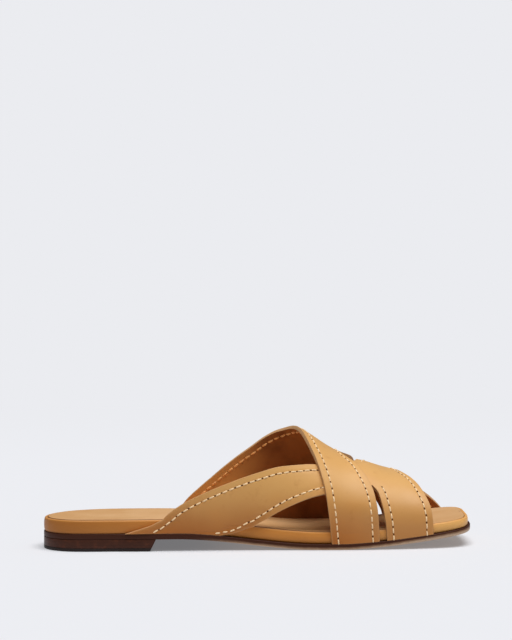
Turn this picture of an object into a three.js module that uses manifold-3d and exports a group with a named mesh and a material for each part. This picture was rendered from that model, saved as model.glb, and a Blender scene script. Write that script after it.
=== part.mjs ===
// Cross strap sandal: one right shoe, +X to the toe, +Y to the inner side of the foot, +Z up.
// Lengths are millimetres. The last is worked out first, and every piece is taken from it.
import * as THREE from "three";
import { mergeVertices } from "three/addons/utils/BufferGeometryUtils.js";
import Module from "manifold-3d";

// Driving sizes of the shoe
const LENGTH = 262;
const BALL_WIDTH = 78;
const INSTEP_HEIGHT = 54;
const TOE_SPRING = 9.8;
const HEEL_LENGTH = 61.5;
const HEEL_HEIGHT = 7;
const HEEL_TOP_PIECE = 1.9;
const BREAST_LEAN = 3.5;
const OUTSOLE_THICKNESS = 3.4;
const OUTSOLE_MARGIN = 2.9;
const TOE_MARGIN = 1.6;
const FOOTBED_AT_HEEL = 7.7;
const FOOTBED_AT_TOE = 4.9;
const FOOTBED_BEVEL = 1.1;
const SOCK_THICKNESS = 1;
const SOCK_INSET = 2;
const SOCK_PROUD = 0.2;
const STRAP_THICKNESS = 2.4;
const SEAT = 0.3;
const STRAP_BITE = 0.4;

// How finely the curves are cut into facets
const RING_POINTS = 120;
const STRAP_ROWS = 40;
const OVER_COLUMNS = 10;
const REAR_LEG_COLUMNS = 7;
const FRONT_LEG_COLUMNS = 5;

// Edge of the footbed seen from above, once round from the back of the heel along the outer side.
// along: share of the length from the heel; across: share of the ball width, + to the inner side
const FOOTBED_EDGE = [
  { along: 0, across: -0.06 },
  { along: 0.011, across: -0.22 },
  { along: 0.05, across: -0.345 },
  { along: 0.15, across: -0.385 },
  { along: 0.27, across: -0.38 },
  { along: 0.39, across: -0.38 },
  { along: 0.51, across: -0.4 },
  { along: 0.62, across: -0.435 },
  { along: 0.74, across: -0.455 },
  { along: 0.86, across: -0.435 },
  { along: 0.925, across: -0.405 },
  { along: 0.953, across: -0.35 },
  { along: 0.97, across: -0.23 },
  { along: 0.98, across: 0.04 },
  { along: 0.983, across: 0.26 },
  { along: 0.973, across: 0.39 },
  { along: 0.942, across: 0.465 },
  { along: 0.85, across: 0.5 },
  { along: 0.74, across: 0.5 },
  { along: 0.62, across: 0.46 },
  { along: 0.5, across: 0.42 },
  { along: 0.36, across: 0.41 },
  { along: 0.23, across: 0.425 },
  { along: 0.13, across: 0.4 },
  { along: 0.055, across: 0.29 },
  { along: 0.014, across: 0.12 },
];

// Top line of the foot. height: share of the instep height above the footbed
const CREST = [
  { along: 0.15, height: 1.62 },
  { along: 0.3, height: 1.54 },
  { along: 0.42, height: 1.37 },
  { along: 0.5, height: 1.215 },
  { along: 0.55, height: 1.09 },
  { along: 0.6, height: 0.97 },
  { along: 0.65, height: 0.815 },
  { along: 0.69, height: 0.722 },
  { along: 0.74, height: 0.662 },
  { along: 0.79, height: 0.569 },
  { along: 0.84, height: 0.487 },
  { along: 0.9, height: 0.37 },
  { along: 0.97, height: 0.25 },
];

// How far the top line lies to the inner side of the middle, as a share of the ball width
const CREST_SIDE = [
  { along: 0.15, across: 0.03 },
  { along: 0.38, across: 0.07 },
  { along: 0.6, across: 0.11 },
  { along: 0.76, across: 0.1 },
  { along: 0.97, across: 0.08 },
];

// Edges of the straps on the last. round: share of the way round the foot, from the outer base
// at 0 over the top line at 0.5 to the inner base at 1. at: share of the length from the heel
const OVER_REAR = [
  { round: 0, at: 0.646 },
  { round: 0.08, at: 0.643 },
  { round: 0.14, at: 0.638 },
  { round: 0.21, at: 0.63 },
  { round: 0.26, at: 0.621 },
  { round: 0.31, at: 0.611 },
  { round: 0.36, at: 0.6 },
  { round: 0.42, at: 0.59 },
  { round: 0.48, at: 0.583 },
  { round: 0.54, at: 0.574 },
  { round: 0.6, at: 0.559 },
  { round: 0.65, at: 0.538 },
  { round: 0.7, at: 0.514 },
  { round: 0.75, at: 0.485 },
  { round: 0.8, at: 0.446 },
  { round: 0.85, at: 0.4 },
  { round: 0.88, at: 0.367 },
  { round: 0.91, at: 0.331 },
  { round: 0.94, at: 0.305 },
  { round: 1, at: 0.285 },
];
const OVER_FRONT = [
  { round: 0, at: 0.754 },
  { round: 0.1, at: 0.752 },
  { round: 0.17, at: 0.748 },
  { round: 0.25, at: 0.7395 },
  { round: 0.34, at: 0.7225 },
  { round: 0.39, at: 0.711 },
  { round: 0.44, at: 0.692 },
  { round: 0.49, at: 0.68 },
  { round: 0.52, at: 0.69 },
  { round: 0.55, at: 0.707 },
  { round: 0.58, at: 0.719 },
  { round: 0.62, at: 0.727 },
  { round: 0.67, at: 0.734 },
  { round: 0.74, at: 0.745 },
  { round: 0.83, at: 0.756 },
  { round: 0.92, at: 0.768 },
  { round: 1, at: 0.772 },
];
const UNDER_REAR = [
  { round: 0, at: 0.178 },
  { round: 0.012, at: 0.193 },
  { round: 0.047, at: 0.2355 },
  { round: 0.08, at: 0.263 },
  { round: 0.1, at: 0.298 },
  { round: 0.13, at: 0.361 },
  { round: 0.16, at: 0.417 },
  { round: 0.2, at: 0.48 },
  { round: 0.24, at: 0.532 },
  { round: 0.28, at: 0.588 },
  { round: 0.33, at: 0.645 },
  { round: 0.4, at: 0.692 },
  { round: 0.46, at: 0.715 },
  { round: 0.53, at: 0.729 },
  { round: 0.62, at: 0.742 },
  { round: 0.74, at: 0.767 },
  { round: 0.84, at: 0.789 },
  { round: 0.9, at: 0.804 },
  { round: 0.94, at: 0.809 },
  { round: 1, at: 0.812 },
];
const UNDER_LOWER = [
  { round: 0, at: 0.392 },
  { round: 0.02, at: 0.42 },
  { round: 0.05, at: 0.444 },
  { round: 0.076, at: 0.464 },
  { round: 0.1, at: 0.502 },
  { round: 0.126, at: 0.537 },
  { round: 0.154, at: 0.574 },
  { round: 0.187, at: 0.617 },
  { round: 0.22, at: 0.66 },
  { round: 0.25, at: 0.705 },
  { round: 0.275, at: 0.742 },
];
const TOE_LEG_REAR = [
  { round: 0, at: 0.771 },
  { round: 0.09, at: 0.769 },
  { round: 0.13, at: 0.766 },
  { round: 0.17, at: 0.7625 },
  { round: 0.22, at: 0.757 },
  { round: 0.25, at: 0.752 },
  { round: 0.275, at: 0.742 },
];
const TOE_FRONT = [
  { round: 0, at: 0.878 },
  { round: 0.1, at: 0.877 },
  { round: 0.15, at: 0.875 },
  { round: 0.2, at: 0.8715 },
  { round: 0.26, at: 0.864 },
  { round: 0.34, at: 0.853 },
  { round: 0.4, at: 0.842 },
  { round: 0.46, at: 0.829 },
  { round: 0.52, at: 0.823 },
  { round: 0.6, at: 0.832 },
  { round: 0.7, at: 0.865 },
  { round: 0.79, at: 0.906 },
  { round: 0.84, at: 0.924 },
  { round: 0.9, at: 0.94 },
  { round: 0.95, at: 0.949 },
  { round: 1, at: 0.95 },
];
const CROTCH = 0.275;

// Places along the sole, as shares of the length
const WAIST_START = 0.286;
const WAIST_END = 0.62;
const SPRING_START = 0.67;
const MARGIN_START = 0.14;
const MARGIN_END = 0.28;
const TOE_MARGIN_START = 0.84;
const TOE_MARGIN_END = 0.96;

// Shape of a cross-section of the foot
const ROUNDNESS = 2.2;
const WALL_SHARE = 0.08;
const LIFT_FROM = 0.07;
const LIFT_TO = 0.19;
const DROP_FROM = 0.62;
const DROP_TO = 0.84;
const SPRING_POWER = 1.45;

// Half the stretch over which the last's normal is taken, and the distance that joins corners
const NORMAL_RUN = 1;
const NORMAL_TURN = 0.004;
const WELD = 1e-4;

const FINISHES = {
  strap: { color: 0xc28f55, roughness: 0.5 },
  footbed: { color: 0xa56833, roughness: 0.5 },
  sock: { color: 0xcba076, roughness: 0.6 },
  outsole: { color: 0x714b38, roughness: 0.45 },
  heel: { color: 0x42251b, roughness: 0.4 },
  topPiece: { color: 0x241512, roughness: 0.7 },
};

// Smooth curve through one column of a table, read at a value of its first column
function along(table, key, column, value) {
  let row = 0;
  while (row < table.length - 2 && value > table[row + 1][key]) row += 1;
  const slope = (index) => {
    const before = table[Math.max(0, index - 1)];
    const after = table[Math.min(table.length - 1, index + 1)];
    return (after[column] - before[column]) / (after[key] - before[key]);
  };
  const start = table[row];
  const end = table[row + 1];
  const span = end[key] - start[key];
  const t = (value - start[key]) / span;
  const rise = end[column] - start[column];
  const startSlope = slope(row) * span;
  const endSlope = slope(row + 1) * span;
  const square = 3 * rise - 2 * startSlope - endSlope;
  const cube = startSlope + endSlope - 2 * rise;
  return start[column] + t * (startSlope + t * (square + t * cube));
}

const edge = (table, round) => LENGTH * along(table, "round", "at", round);

const steps = (from, to, count) =>
  Array.from({ length: count + 1 }, (_, index) => from + ((to - from) * index) / count);

// Heights of the sole at a place along it
function undersideHeight(x) {
  const waist = THREE.MathUtils.smoothstep(x, WAIST_START * LENGTH, WAIST_END * LENGTH);
  const reach = (x - SPRING_START * LENGTH) / (LENGTH - SPRING_START * LENGTH);
  return HEEL_HEIGHT * (1 - waist) + TOE_SPRING * Math.max(0, reach) ** SPRING_POWER;
}
const outsoleTop = (x) => undersideHeight(x) + OUTSOLE_THICKNESS;
function footbedTop(x) {
  const taper = (FOOTBED_AT_TOE - FOOTBED_AT_HEEL) * Math.max(0, x / LENGTH) ** 2;
  return outsoleTop(x) + SEAT + FOOTBED_AT_HEEL + taper;
}

// The footbed's edge as a ring of points, moved outward by a margin along the sole
function soleRing(margin) {
  const points = FOOTBED_EDGE.map(
    (row) => new THREE.Vector3(row.along * LENGTH, row.across * BALL_WIDTH, 0),
  );
  const curve = new THREE.CatmullRomCurve3(points, true, "centripetal");
  const ring = curve.getSpacedPoints(RING_POINTS).slice(0, RING_POINTS);
  return ring.map((point, index) => {
    const next = ring[(index + 1) % RING_POINTS];
    const last = ring[(index + RING_POINTS - 1) % RING_POINTS];
    const run = next.clone().sub(last).normalize();
    const reach = margin(point.x);
    return new THREE.Vector3(point.x + run.y * reach, point.y - run.x * reach, 0);
  });
}
const footbedRing = soleRing(() => 0);
const sideMargin = (x) => {
  const swell = THREE.MathUtils.smoothstep(x, MARGIN_START * LENGTH, MARGIN_END * LENGTH);
  const toe = THREE.MathUtils.smoothstep(x, TOE_MARGIN_START * LENGTH, TOE_MARGIN_END * LENGTH);
  const ledge = OUTSOLE_MARGIN + (TOE_MARGIN - OUTSOLE_MARGIN) * toe;
  return SEAT + (ledge - SEAT) * swell;
};

// How far the footbed reaches to one side of the middle at a place along it
function footbedSide(x, side) {
  let reach = 0;
  footbedRing.forEach((point, index) => {
    const next = footbedRing[(index + 1) % RING_POINTS];
    if ((point.x - x) * (next.x - x) > 0 || point.x === next.x) return;
    const y = point.y + ((next.y - point.y) * (x - point.x)) / (next.x - point.x);
    reach = Math.max(reach, y * side);
  });
  return reach;
}

// A point of the last's upper: up the footbed's wall, over the foot and down the inner wall
function lastPoint(x, round) {
  const outer = footbedSide(x, -1) + SEAT;
  const inner = footbedSide(x, 1) + SEAT;
  const base = outsoleTop(x) + SEAT;
  const top = footbedTop(x);
  const climb = Math.min(round, 1 - round) / WALL_SHARE;
  if (climb < 1) {
    const wall = base + (top - base) * climb;
    return new THREE.Vector3(x, round < 0.5 ? -outer : inner, wall);
  }
  const share = x / LENGTH;
  const middle = BALL_WIDTH * along(CREST_SIDE, "along", "across", share);
  const rise = INSTEP_HEIGHT * along(CREST, "along", "height", share);
  const turn = (Math.PI * (round - WALL_SHARE)) / (1 - 2 * WALL_SHARE);
  const lean = Math.abs(Math.cos(turn)) ** (2 / ROUNDNESS);
  const lift = Math.max(0, Math.sin(turn)) ** (2 / ROUNDNESS);
  const y = round < 0.5 ? middle - (outer + middle) * lean : middle + (inner - middle) * lean;
  return new THREE.Vector3(x, y, top + rise * lift);
}

// The same point moved off the last along its own normal
function offLast(x, round, offset) {
  const low = Math.max(0, round - NORMAL_TURN);
  const high = Math.min(1, round + NORMAL_TURN);
  const run = lastPoint(x + NORMAL_RUN, round).sub(lastPoint(x - NORMAL_RUN, round));
  const turn = lastPoint(x, high).sub(lastPoint(x, low));
  const normal = run.cross(turn).normalize();
  if (round < WALL_SHARE || round > 1 - WALL_SHARE) normal.setZ(0).normalize();
  return lastPoint(x, round).addScaledVector(normal, offset);
}

// Collects faces given as corner points and makes them one closed geometry
class Skin {
  constructor() {
    this.places = [];
  }

  triangle(a, b, c) {
    if (a.equals(b) || b.equals(c) || c.equals(a)) return;
    for (const corner of [a, b, c]) this.places.push(corner.x, corner.y, corner.z);
  }

  quad(a, b, c, d) {
    this.triangle(a, b, c);
    this.triangle(a, c, d);
  }

  geometry() {
    const raw = new THREE.BufferGeometry();
    raw.setAttribute("position", new THREE.Float32BufferAttribute(this.places, 3));
    return mergeVertices(raw, WELD);
  }
}

// A stack of rings, each with its height, closed by strips that meet on a middle line
function stackedRings(rings) {
  const skin = new Skin();
  const count = RING_POINTS;
  const raised = rings.map(({ ring, height }) =>
    ring.map((point) => new THREE.Vector3(point.x, point.y, height(point.x))),
  );
  for (let level = 0; level + 1 < raised.length; level += 1) {
    for (let index = 0; index < count; index += 1) {
      const next = (index + 1) % count;
      const low = raised[level];
      const high = raised[level + 1];
      skin.quad(low[index], low[next], high[next], high[index]);
    }
  }
  const bottom = raised[0];
  const top = raised[raised.length - 1];
  const middleLine = (ring, height) =>
    steps(0, count / 2, count / 2).map((index) => {
      const middle = ring[index].clone().lerp(ring[(count - index) % count], 0.5);
      return middle.setZ(height(middle.x));
    });
  const under = middleLine(bottom, rings[0].height);
  const over = middleLine(top, rings[rings.length - 1].height);
  for (let index = 0; index < count / 2; index += 1) {
    const next = index + 1;
    const across = (count - index) % count;
    const beyond = count - next;
    skin.quad(bottom[index], under[index], under[next], bottom[next]);
    skin.quad(under[index], bottom[across], bottom[beyond], under[next]);
    skin.quad(top[index], top[next], over[next], over[index]);
    skin.quad(over[index], over[next], top[beyond], top[across]);
  }
  return skin.geometry();
}

// A sheet of leather between rows of points: outer and inner faces, and the cut edges
function leather(patches) {
  const skin = new Skin();
  for (const { outer, inner, cuts } of patches) {
    const rows = outer.length - 1;
    const columns = outer[0].length - 1;
    for (let row = 0; row < rows; row += 1) {
      for (let column = 0; column < columns; column += 1) {
        skin.quad(
          outer[row][column],
          outer[row][column + 1],
          outer[row + 1][column + 1],
          outer[row + 1][column],
        );
        skin.quad(
          inner[row][column],
          inner[row + 1][column],
          inner[row + 1][column + 1],
          inner[row][column + 1],
        );
      }
      skin.quad(outer[row][0], outer[row + 1][0], inner[row + 1][0], inner[row][0]);
      skin.quad(
        outer[row][columns],
        inner[row][columns],
        inner[row + 1][columns],
        outer[row + 1][columns],
      );
    }
    for (let column = 0; column < columns; column += 1) {
      if (cuts.start) {
        skin.quad(outer[0][column], inner[0][column], inner[0][column + 1], outer[0][column + 1]);
      }
      if (cuts.end) {
        skin.quad(
          outer[rows][column],
          outer[rows][column + 1],
          inner[rows][column + 1],
          inner[rows][column],
        );
      }
    }
  }
  return skin.geometry();
}

// Rows of a strap between two edges, each row at its own share of the way round
function strapRows(rounds, rear, front, columns, offset) {
  return rounds.map((round) => {
    const start = edge(rear, round);
    const end = edge(front, round);
    return Array.from({ length: columns + 1 }, (_, column) => {
      const x = start + ((end - start) * column) / columns;
      return offLast(x, round, offset(round));
    });
  });
}

// The strap underneath: a rear leg and a toe leg that grow together below the strap on top
function underStrap() {
  const low = steps(0, CROTCH, Math.round(STRAP_ROWS * CROTCH));
  const high = steps(CROTCH, 1, Math.round(STRAP_ROWS * (1 - CROTCH)));
  const faces = [STRAP_THICKNESS, 0].map((depth) => {
    const offset = () => depth;
    const rearLeg = strapRows(low, UNDER_REAR, UNDER_LOWER, REAR_LEG_COLUMNS, offset);
    const toeLeg = strapRows(low, TOE_LEG_REAR, TOE_FRONT, FRONT_LEG_COLUMNS, offset);
    const join = rearLeg[rearLeg.length - 1].concat(toeLeg[toeLeg.length - 1].slice(1));
    const columns = REAR_LEG_COLUMNS + FRONT_LEG_COLUMNS;
    const band = strapRows(high, UNDER_REAR, TOE_FRONT, columns, offset);
    band[0] = join;
    return { rearLeg, toeLeg, band };
  });
  const patch = (name, cuts) => ({ outer: faces[0][name], inner: faces[1][name], cuts });
  return leather([
    patch("rearLeg", { start: true }),
    patch("toeLeg", { start: true }),
    patch("band", { end: true }),
  ]);
}

// The strap on top: it leaves the last where it climbs over the other strap
function overStrap() {
  const rounds = steps(0, 1, STRAP_ROWS);
  const clearance = (round) => {
    const climb = THREE.MathUtils.smoothstep(round, LIFT_FROM, LIFT_TO);
    const settle = 1 - THREE.MathUtils.smoothstep(round, DROP_FROM, DROP_TO);
    return (STRAP_THICKNESS - STRAP_BITE) * climb * settle;
  };
  const face = (depth) =>
    strapRows(rounds, OVER_REAR, OVER_FRONT, OVER_COLUMNS, (round) => clearance(round) + depth);
  const cuts = { start: true, end: true };
  return leather([{ outer: face(STRAP_THICKNESS), inner: face(0), cuts }]);
}

const wasm = await Module();
wasm.setup();

function solid(geometry) {
  const bare = geometry.clone();
  bare.deleteAttribute("normal");
  bare.deleteAttribute("uv");
  const merged = mergeVertices(bare, WELD);
  const triVerts = new Uint32Array(merged.index.array);
  const vertProperties = new Float32Array(merged.attributes.position.array);
  return new wasm.Manifold(new wasm.Mesh({ numProp: 3, vertProperties, triVerts }));
}

function surface(body) {
  const { vertProperties, triVerts } = body.getMesh();
  const geometry = new THREE.BufferGeometry();
  geometry.setAttribute("position", new THREE.BufferAttribute(vertProperties, 3));
  geometry.setIndex(new THREE.BufferAttribute(triVerts, 1));
  return geometry;
}

// Everything behind the heel's breast, which leans forward towards the top
function behindBreast() {
  const width = 2 * BALL_WIDTH;
  const foot = HEEL_LENGTH;
  const profile = new THREE.Shape();
  profile.moveTo(-HEEL_LENGTH, 0);
  profile.lineTo(foot, 0);
  profile.lineTo(foot + BREAST_LEAN, HEEL_HEIGHT);
  profile.lineTo(-HEEL_LENGTH, HEEL_HEIGHT);
  const block = new THREE.ExtrudeGeometry(profile, { depth: width, bevelEnabled: false });
  return block.rotateX(Math.PI / 2).translate(0, width / 2, 0);
}

function heelLayer(bottom, top) {
  const ring = soleRing(sideMargin);
  const slab = stackedRings([
    { ring, height: () => bottom },
    { ring, height: () => top },
  ]);
  return surface(solid(slab).intersect(solid(behindBreast())));
}

function outsole() {
  const ring = soleRing(sideMargin);
  return stackedRings([
    { ring, height: undersideHeight },
    { ring, height: outsoleTop },
  ]);
}

// The footbed has a bevelled rim and a shallow bed for the sock
function footbed() {
  const inset = (distance) => soleRing(() => -distance);
  const bed = SOCK_THICKNESS + SEAT - SOCK_PROUD;
  return stackedRings([
    { ring: inset(0), height: (x) => outsoleTop(x) + SEAT },
    { ring: inset(0), height: (x) => footbedTop(x) - FOOTBED_BEVEL },
    { ring: inset(FOOTBED_BEVEL), height: footbedTop },
    { ring: inset(SOCK_INSET - SEAT), height: footbedTop },
    { ring: inset(SOCK_INSET - SEAT), height: (x) => footbedTop(x) - bed },
  ]);
}

function insoleSock() {
  const ring = soleRing(() => -SOCK_INSET);
  const floor = (x) => footbedTop(x) + SOCK_PROUD - SOCK_THICKNESS;
  return stackedRings([
    { ring, height: floor },
    { ring, height: (x) => floor(x) + SOCK_THICKNESS },
  ]);
}

function upper() {
  return surface(solid(underStrap()).add(solid(overStrap())));
}

const sandal = new THREE.Group();
sandal.name = "cross_strap_sandal";

function addPiece(name, geometry, { color, roughness }) {
  const material = new THREE.MeshStandardMaterial({ color, roughness, metalness: 0 });
  const mesh = new THREE.Mesh(geometry, material);
  mesh.name = name;
  sandal.add(mesh);
}

const heelBottom = HEEL_TOP_PIECE + SEAT;
addPiece("heel_top_piece", heelLayer(0, HEEL_TOP_PIECE), FINISHES.topPiece);
addPiece("heel", heelLayer(heelBottom, HEEL_HEIGHT - SEAT), FINISHES.heel);
addPiece("outsole", outsole(), FINISHES.outsole);
addPiece("footbed", footbed(), FINISHES.footbed);
addPiece("insole_sock", insoleSock(), FINISHES.sock);
addPiece("upper", upper(), FINISHES.strap);

// The origin is under the middle of the shoe, on the floor
const box = new THREE.Box3().setFromObject(sandal);
const centre = box.getCenter(new THREE.Vector3());
sandal.position.set(-centre.x, -centre.y, -box.min.z);

export default sandal;
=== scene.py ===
"""Dresses a cross strap sandal in leather, cut edges, stitches and soft studio light."""

import math

import bpy
import numpy as np
from bpy.props import FloatProperty, FloatVectorProperty, IntProperty, PointerProperty
from mathutils import Matrix, Vector, noise


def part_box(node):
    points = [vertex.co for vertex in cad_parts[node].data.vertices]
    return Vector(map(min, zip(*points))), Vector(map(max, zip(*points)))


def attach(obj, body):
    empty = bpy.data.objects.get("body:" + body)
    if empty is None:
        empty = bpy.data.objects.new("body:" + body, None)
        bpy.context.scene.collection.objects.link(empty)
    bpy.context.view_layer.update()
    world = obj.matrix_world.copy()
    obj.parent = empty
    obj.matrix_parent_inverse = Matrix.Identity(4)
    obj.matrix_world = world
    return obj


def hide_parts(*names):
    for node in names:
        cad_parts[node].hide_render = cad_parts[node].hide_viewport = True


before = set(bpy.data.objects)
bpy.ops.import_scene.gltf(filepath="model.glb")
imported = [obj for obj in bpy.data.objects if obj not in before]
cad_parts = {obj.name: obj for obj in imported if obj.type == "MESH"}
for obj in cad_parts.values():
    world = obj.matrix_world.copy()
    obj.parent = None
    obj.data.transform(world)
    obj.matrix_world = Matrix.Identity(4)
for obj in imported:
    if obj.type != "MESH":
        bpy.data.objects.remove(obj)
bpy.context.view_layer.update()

bl_info = {
    "name": "Cross Strap Sandal",
    "version": (1, 0, 0),
    "blender": (4, 5, 0),
    "location": "View3D > Sidebar > Sandal",
    "description": "Builds the straps, stitches, footbed and sole of a cross strap sandal",
    "category": "Object",
}

MM = 0.001

# Sizes of the sole and the last, in metres
LENGTH = 262 * MM
BALL_WIDTH = 78 * MM
INSTEP_HEIGHT = 54 * MM
TOE_SPRING = 9.8 * MM
HEEL_LENGTH = 61.5 * MM
HEEL_HEIGHT = 7 * MM
HEEL_TOP_PIECE = 1.9 * MM
BREAST_LEAN = 3.5 * MM
OUTSOLE_THICKNESS = 3.4 * MM
OUTSOLE_MARGIN = 2.9 * MM
TOE_MARGIN = 1.6 * MM
FOOTBED_AT_HEEL = 7.7 * MM
FOOTBED_AT_TOE = 4.9 * MM
SEAT = 0.3 * MM

# Places along the sole, as shares of the length
WAIST_START, WAIST_END = 0.286, 0.62
SPRING_START = 0.67
MARGIN_START, MARGIN_END = 0.14, 0.28
TOE_MARGIN_START, TOE_MARGIN_END = 0.84, 0.96

# Shape of a cross-section of the foot
SPRING_POWER = 1.45
ROUNDNESS = 2.2
WALL_SHARE = 0.08
LIFT_FROM, LIFT_TO = 0.07, 0.19
DROP_FROM, DROP_TO = 0.62, 0.84
CROTCH = 0.275

# Edge of the footbed: share of the length from the heel, share of the ball width to the inner side
FOOTBED_EDGE = (
    (0, -0.06), (0.011, -0.22), (0.05, -0.345), (0.15, -0.385), (0.27, -0.38), (0.39, -0.38),
    (0.51, -0.4), (0.62, -0.435), (0.74, -0.455), (0.86, -0.435), (0.925, -0.405), (0.953, -0.35),
    (0.97, -0.23), (0.98, 0.04), (0.983, 0.26), (0.973, 0.39), (0.942, 0.465), (0.85, 0.5),
    (0.74, 0.5), (0.62, 0.46), (0.5, 0.42), (0.36, 0.41), (0.23, 0.425), (0.13, 0.4),
    (0.055, 0.29), (0.014, 0.12),
)
# Top line of the foot: share of the length, share of the instep height
CREST = (
    (0.15, 1.62), (0.3, 1.54), (0.42, 1.37), (0.5, 1.215), (0.55, 1.09), (0.6, 0.97),
    (0.65, 0.815), (0.69, 0.722), (0.74, 0.662), (0.79, 0.569), (0.84, 0.487), (0.9, 0.37),
    (0.97, 0.25),
)
# The top line's way to the inner side: share of the length, share of the ball width
CREST_SIDE = ((0.15, 0.03), (0.38, 0.07), (0.6, 0.11), (0.76, 0.1), (0.97, 0.08))
# Edges of the straps: share of the way round the foot from its outer base, share of the length
TOP_REAR = (
    (0, 0.646), (0.08, 0.643), (0.14, 0.638), (0.21, 0.63), (0.26, 0.621), (0.31, 0.611),
    (0.36, 0.6), (0.42, 0.59), (0.48, 0.583), (0.54, 0.574), (0.6, 0.559), (0.65, 0.538),
    (0.7, 0.514), (0.75, 0.485), (0.8, 0.446), (0.85, 0.4), (0.88, 0.367), (0.91, 0.331),
    (0.94, 0.305), (1, 0.285),
)
TOP_FRONT = (
    (0, 0.754), (0.1, 0.752), (0.17, 0.748), (0.25, 0.7395), (0.34, 0.7225), (0.39, 0.711),
    (0.44, 0.692), (0.49, 0.68), (0.52, 0.69), (0.55, 0.707), (0.58, 0.719), (0.62, 0.727),
    (0.67, 0.734), (0.74, 0.745), (0.83, 0.756), (0.92, 0.768), (1, 0.772),
)
UNDER_REAR = (
    (0, 0.178), (0.012, 0.193), (0.047, 0.2355), (0.08, 0.263), (0.1, 0.298), (0.13, 0.361),
    (0.16, 0.417), (0.2, 0.48), (0.24, 0.532), (0.28, 0.588), (0.33, 0.645), (0.4, 0.692),
    (0.46, 0.715), (0.53, 0.729), (0.62, 0.742), (0.74, 0.767), (0.84, 0.789), (0.9, 0.804),
    (0.94, 0.809), (1, 0.812),
)
UNDER_LOWER = (
    (0, 0.392), (0.02, 0.42), (0.05, 0.444), (0.076, 0.464), (0.1, 0.502), (0.126, 0.537),
    (0.154, 0.574), (0.187, 0.617), (0.22, 0.66), (0.25, 0.705), (0.275, 0.742),
)
TOE_LEG_REAR = (
    (0, 0.771), (0.09, 0.769), (0.13, 0.766), (0.17, 0.7625), (0.22, 0.757), (0.25, 0.752),
    (0.275, 0.742),
)
TOE_FRONT = (
    (0, 0.878), (0.1, 0.877), (0.15, 0.875), (0.2, 0.8715), (0.26, 0.864), (0.34, 0.853),
    (0.4, 0.842), (0.46, 0.829), (0.52, 0.823), (0.6, 0.832), (0.7, 0.865), (0.79, 0.906),
    (0.84, 0.924), (0.9, 0.94), (0.95, 0.949), (1, 0.95),
)

# How finely the pieces are divided
RING_POINTS = 480
SPAN_POINTS = 48
CAP_COLUMNS = 14
STRAP_ROWS = 240
PLAIN_COLUMNS = 20
NORMAL_RUN = 1 * MM
NORMAL_TURN = 0.004

# Distances in from a strap's edge where its surface is given columns of points
EDGE_COLUMNS = np.array((0, 0.5, 1.2, 2.0, 2.7, 3.2, 3.6, 4.0, 4.4, 4.8, 5.4, 6.3, 7.5)) * MM
EDGE_SHARE = 0.42
# Shares of the way between a strap's two edge zones where it has plain columns
PLAIN_SHARES = np.linspace(0, 1, PLAIN_COLUMNS + 2)[1:-1]

# Units of the UV mark that tells how far a point is from a cut edge, to a metre
MARK_SCALE = 10
# Slow unevenness of the leather: length of a wave along the last, and waves round it
WAVE_LENGTH, WAVES_ROUND = 18 * MM, 7.0
# Reach of a stitch's pull to each side of its row
STITCH_PULL = 0.8 * MM
# Most that a stitch is turned about its three axes, in radians
MOST_WOBBLE = (0.0, 0.03, 0.06)


def smoothstep(value, low, high):
    """Soft step from 0 to 1 between two values."""
    t = np.clip((np.asarray(value, dtype=float) - low) / (high - low), 0, 1)
    return t * t * (3 - 2 * t)


def along(table, value):
    """Smooth curve through a table of two columns, read at values of its first column."""
    keys, sizes = np.array(table, dtype=float).T
    value = np.asarray(value, dtype=float)
    row = np.clip(np.searchsorted(keys, value) - 1, 0, len(keys) - 2)
    slope = np.empty_like(sizes)
    slope[1:-1] = (sizes[2:] - sizes[:-2]) / (keys[2:] - keys[:-2])
    slope[0] = (sizes[1] - sizes[0]) / (keys[1] - keys[0])
    slope[-1] = (sizes[-1] - sizes[-2]) / (keys[-1] - keys[-2])
    span = keys[row + 1] - keys[row]
    t = (value - keys[row]) / span
    rise = sizes[row + 1] - sizes[row]
    start, end = slope[row] * span, slope[row + 1] * span
    return sizes[row] + t * (start + t * (3 * rise - 2 * start - end + t * (start + end - 2 * rise)))


def edge(table, turn):
    """Place along the sole of a strap's edge at shares of the way round."""
    return LENGTH * along(table, turn)


def underside(x):
    """Height of the outsole's underside over the floor."""
    waist = smoothstep(x, WAIST_START * LENGTH, WAIST_END * LENGTH)
    reach = (x - SPRING_START * LENGTH) / (LENGTH - SPRING_START * LENGTH)
    return HEEL_HEIGHT * (1 - waist) + TOE_SPRING * np.maximum(0, reach) ** SPRING_POWER


def outsole_top(x):
    """Height of the outsole's upper side."""
    return underside(x) + OUTSOLE_THICKNESS


def footbed_top(x):
    """Height of the footbed's upper side."""
    taper = (FOOTBED_AT_TOE - FOOTBED_AT_HEEL) * np.maximum(0, x / LENGTH) ** 2
    return outsole_top(x) + SEAT + FOOTBED_AT_HEEL + taper


def closed_curve(points):
    """Closed smooth curve through the points, tighter where they stand close."""
    count = len(points)
    t = np.arange(SPAN_POINTS)[:, None] / SPAN_POINTS
    spans = []
    for index in range(count):
        before, start, end, after = (points[(index + step) % count] for step in (-1, 0, 1, 2))
        first, middle, last = (
            math.sqrt(np.linalg.norm(b - a))
            for a, b in ((before, start), (start, end), (end, after))
        )
        leave = (start - before) / first - (end - before) / (first + middle)
        leave = (leave + (end - start) / middle) * middle
        arrive = (end - start) / middle - (after - start) / (middle + last)
        arrive = (arrive + (after - end) / last) * middle
        square = 3 * (end - start) - 2 * leave - arrive
        cube = 2 * (start - end) + leave + arrive
        spans.append(start + t * leave + t**2 * square + t**3 * cube)
    return np.vstack(spans)


def evenly(line, count, endpoint):
    """Points at even distances along a line."""
    run = np.concatenate(((0,), np.cumsum(np.linalg.norm(np.diff(line, axis=0), axis=1))))
    wanted = np.linspace(0, run[-1], count, endpoint=endpoint)
    return np.column_stack([np.interp(wanted, run, line[:, axis]) for axis in range(2)])


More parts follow.
